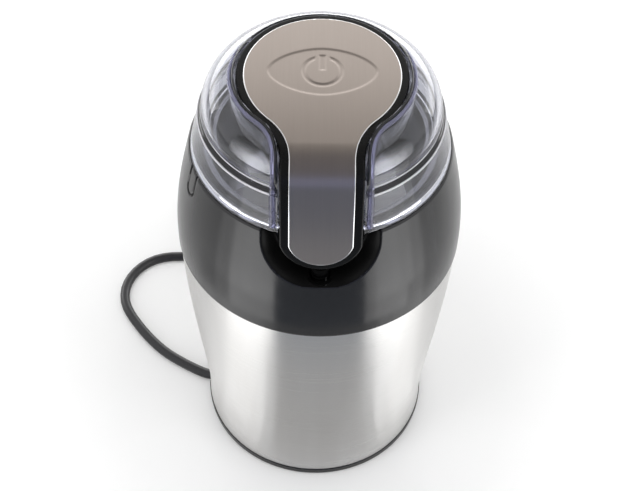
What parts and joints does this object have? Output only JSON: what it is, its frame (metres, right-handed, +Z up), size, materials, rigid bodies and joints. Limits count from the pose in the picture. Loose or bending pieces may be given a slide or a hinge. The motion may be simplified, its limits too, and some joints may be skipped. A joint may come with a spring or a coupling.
{
  "type": "electric spice grinder",
  "caption": "Electric blade grinder for spices and coffee: waisted steel body, black collar, clear stepped lid and a keyhole-shaped press button whose tongue reaches a recess in the collar.",
  "frame": {"origin": "centre of the body on the surface that the rubber feet stand on", "axes": "+Z up along the drive shaft, -Y towards the front with the button's tongue, -X towards the side where the cord leaves"},
  "size_m": [0.1408, 0.1794, 0.1785],
  "materials": {
    "black_plastic": "gloss",
    "liner_plastic": "moulded",
    "steel_brushed": "brushed around the body",
    "steel_polished": "polished",
    "plate_steel": "satin",
    "clear_plastic": "clear",
    "white_plastic": "moulded",
    "rubber_black": "moulded",
    "screw_steel": "zinc plated",
    "spring_steel": "drawn wire",
    "laminated_steel": "laminated sheet",
    "copper_wire": "enamelled wire",
    "bronze": "sintered bronze",
    "brass": "drawn",
    "carbon": "pressed carbon",
    "zinc_casting": "die cast",
    "film_plastic": "moulded",
    "wire_insulation": "extruded",
    "cord_sheath": "extruded PVC",
    "pin_metal": "nickel plated",
    "tie_plastic": "moulded"
  },
  "bodies": {
    "housing": {"base_cover": "black_plastic", "rubber_feet": "rubber_black", "base_screws": "screw_steel", "body_liner": "liner_plastic", "steel_sleeve": "steel_brushed", "upper_housing": "black_plastic", "housing_screws": "screw_steel", "grinding_bowl": "steel_polished", "shaft_seal": "rubber_black", "upper_bracket": "zinc_casting", "upper_bearing": "bronze", "motor_mounts": "rubber_black", "mount_screws": "screw_steel", "stator_core": "laminated_steel", "stator_coils": "copper_wire", "motor_bolts": "screw_steel", "lower_bracket": "zinc_casting", "lower_bearing": "bronze", "brush_holders": "brass", "carbon_brushes": "carbon", "brush_springs": "spring_steel", "microswitch": "black_plastic", "switch_plate": "screw_steel", "switch_screws": "screw_steel", "terminal_block": "white_plastic", "suppressor": "film_plastic", "lead_wires": "wire_insulation", "cord_clamp": "black_plastic", "clamp_screws": "screw_steel", "strain_relief": "cord_sheath", "power_cord": "cord_sheath", "cord_coil": "cord_sheath", "cord_tail": "cord_sheath", "cord_tie": "tie_plastic", "plug_body": "cord_sheath", "plug_pins": "pin_metal", "plunger_spring": "spring_steel"},
    "spindle": {"drive_shaft": "steel_polished", "rotor_core": "laminated_steel", "rotor_coils": "copper_wire", "commutator": "copper_wire", "cooling_fan": "white_plastic", "blade_hub": "steel_polished", "grinding_blade": "steel_polished", "blade_nut": "steel_polished"},
    "lid": {"lid_dome": "clear_plastic", "button_spring": "spring_steel"},
    "button": {"button_frame": "black_plastic", "button_plate": "plate_steel"},
    "plunger": {"switch_plunger": "black_plastic"},
    "lever": {"switch_lever": "spring_steel"}
  },
  "joints": [
    {"name": "lid_lift", "type": "slide", "parent": "housing", "child": "lid", "axis": [0, 0, 1], "range_m": [0, 0.1]},
    {"name": "button_press", "type": "slide", "parent": "lid", "child": "button", "axis": [0, 0, -1], "range_m": [0, 0.003], "stiffness_N_per_m": 500, "springref_m": -0.002, "deforming": ["button_spring"]},
    {"name": "plunger_slide", "type": "slide", "parent": "housing", "child": "plunger", "axis": [0, 0, -1], "range_m": [0, 0.003], "stiffness_N_per_m": 300, "springref_m": -0.002, "deforming": ["plunger_spring"]},
    {"name": "lever_turn", "type": "hinge", "parent": "housing", "child": "lever", "pos_m": [-0.008, -0.0438, 0.1129], "axis": [0, 1, 0], "range_deg": [0, 19.5]},
    {"name": "blade_spin", "type": "hinge", "parent": "housing", "child": "spindle", "pos_m": [0, 0, 0.08], "axis": [0, 0, 1], "continuous": true}
  ],
  "couplings": [
    {"joint": "plunger_slide", "follows": "button_press", "ratio": 1},
    {"joint": "lever_turn", "follows": "button_press", "rad_per_m": 113.2}
  ]
}
